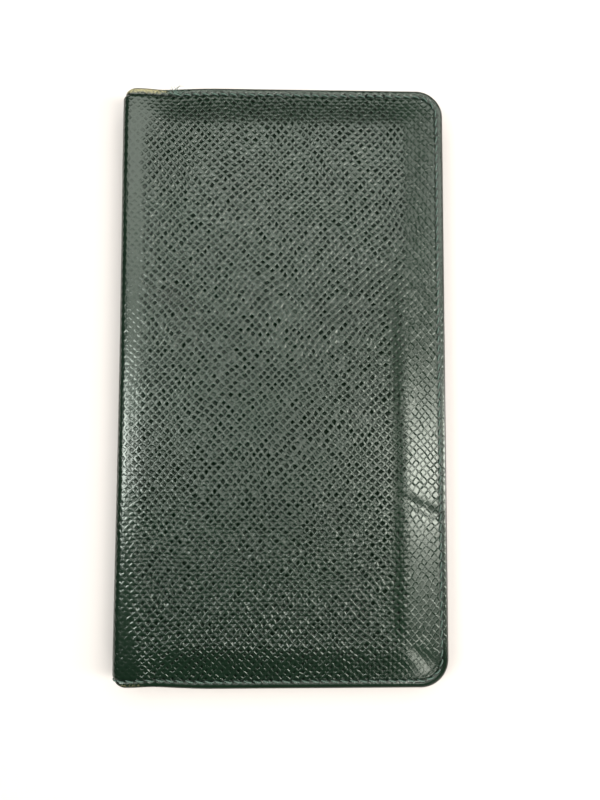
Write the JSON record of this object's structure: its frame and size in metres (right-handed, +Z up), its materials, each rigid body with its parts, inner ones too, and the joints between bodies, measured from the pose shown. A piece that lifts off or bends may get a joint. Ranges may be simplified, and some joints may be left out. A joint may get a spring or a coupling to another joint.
{
  "type": "long wallet",
  "caption": "Long bifold coat wallet that opens like a book, with note compartments, a slip panel, card pockets, a document pocket and a ticket pocket.",
  "frame": {"origin": "middle of the base: on the resting plane, under the middle of the closed wallet", "axes": "+Z up through the front cover, +Y to the top end, +X to the free edge, -X to the fold"},
  "size_m": [0.101, 0.185, 0.0116],
  "materials": {
    "cover_leather": "cross-grain embossed calf leather, dark green, semi-gloss, rubbed",
    "lining_leather": "smooth thin lining leather, dark green",
    "pocket_leather": "smooth pocket leather, dark green, creased at the mouths",
    "stiffener_board": "thin leather-fibre board",
    "edge_paint": "dark brown edge paint, satin",
    "thread": "waxed polyester thread, green",
    "fold_tape": "non-woven reinforcement tape, olive tan"
  },
  "bodies": {
    "back_half": {"cover_back": "cover_leather", "stiffener_back": "stiffener_board", "lining_back": "lining_leather", "note_panel_back": "pocket_leather", "edge_paint_back": "edge_paint", "stitching_back": "thread", "slip_panel": "pocket_leather", "card_pocket_1": "pocket_leather", "card_pocket_2": "pocket_leather", "card_pocket_3": "pocket_leather", "card_pocket_4": "pocket_leather", "card_pocket_5": "pocket_leather"},
    "spine": {"cover_spine": "cover_leather", "spine_reinforcement": "fold_tape", "lining_spine": "lining_leather", "stitching_spine": "thread"},
    "front_half": {"cover_front": "cover_leather", "stiffener_front": "stiffener_board", "lining_front": "lining_leather", "note_panel_front": "pocket_leather", "edge_paint_front": "edge_paint", "stitching_front": "thread", "document_pocket": "pocket_leather", "ticket_pocket": "pocket_leather"}
  },
  "joints": [
    {"name": "spine_fold", "type": "hinge", "parent": "back_half", "child": "spine", "pos_m": [-0.04976, 0, 0.00074], "axis": [0, -1, 0], "range_deg": [0, 90]},
    {"name": "cover_fold", "type": "hinge", "parent": "spine", "child": "front_half", "pos_m": [-0.04976, 0, 0.01086], "axis": [0, -1, 0], "range_deg": [0, 90]}
  ],
  "couplings": [
    {"joint": "cover_fold", "follows": "spine_fold", "ratio": 1}
  ]
}
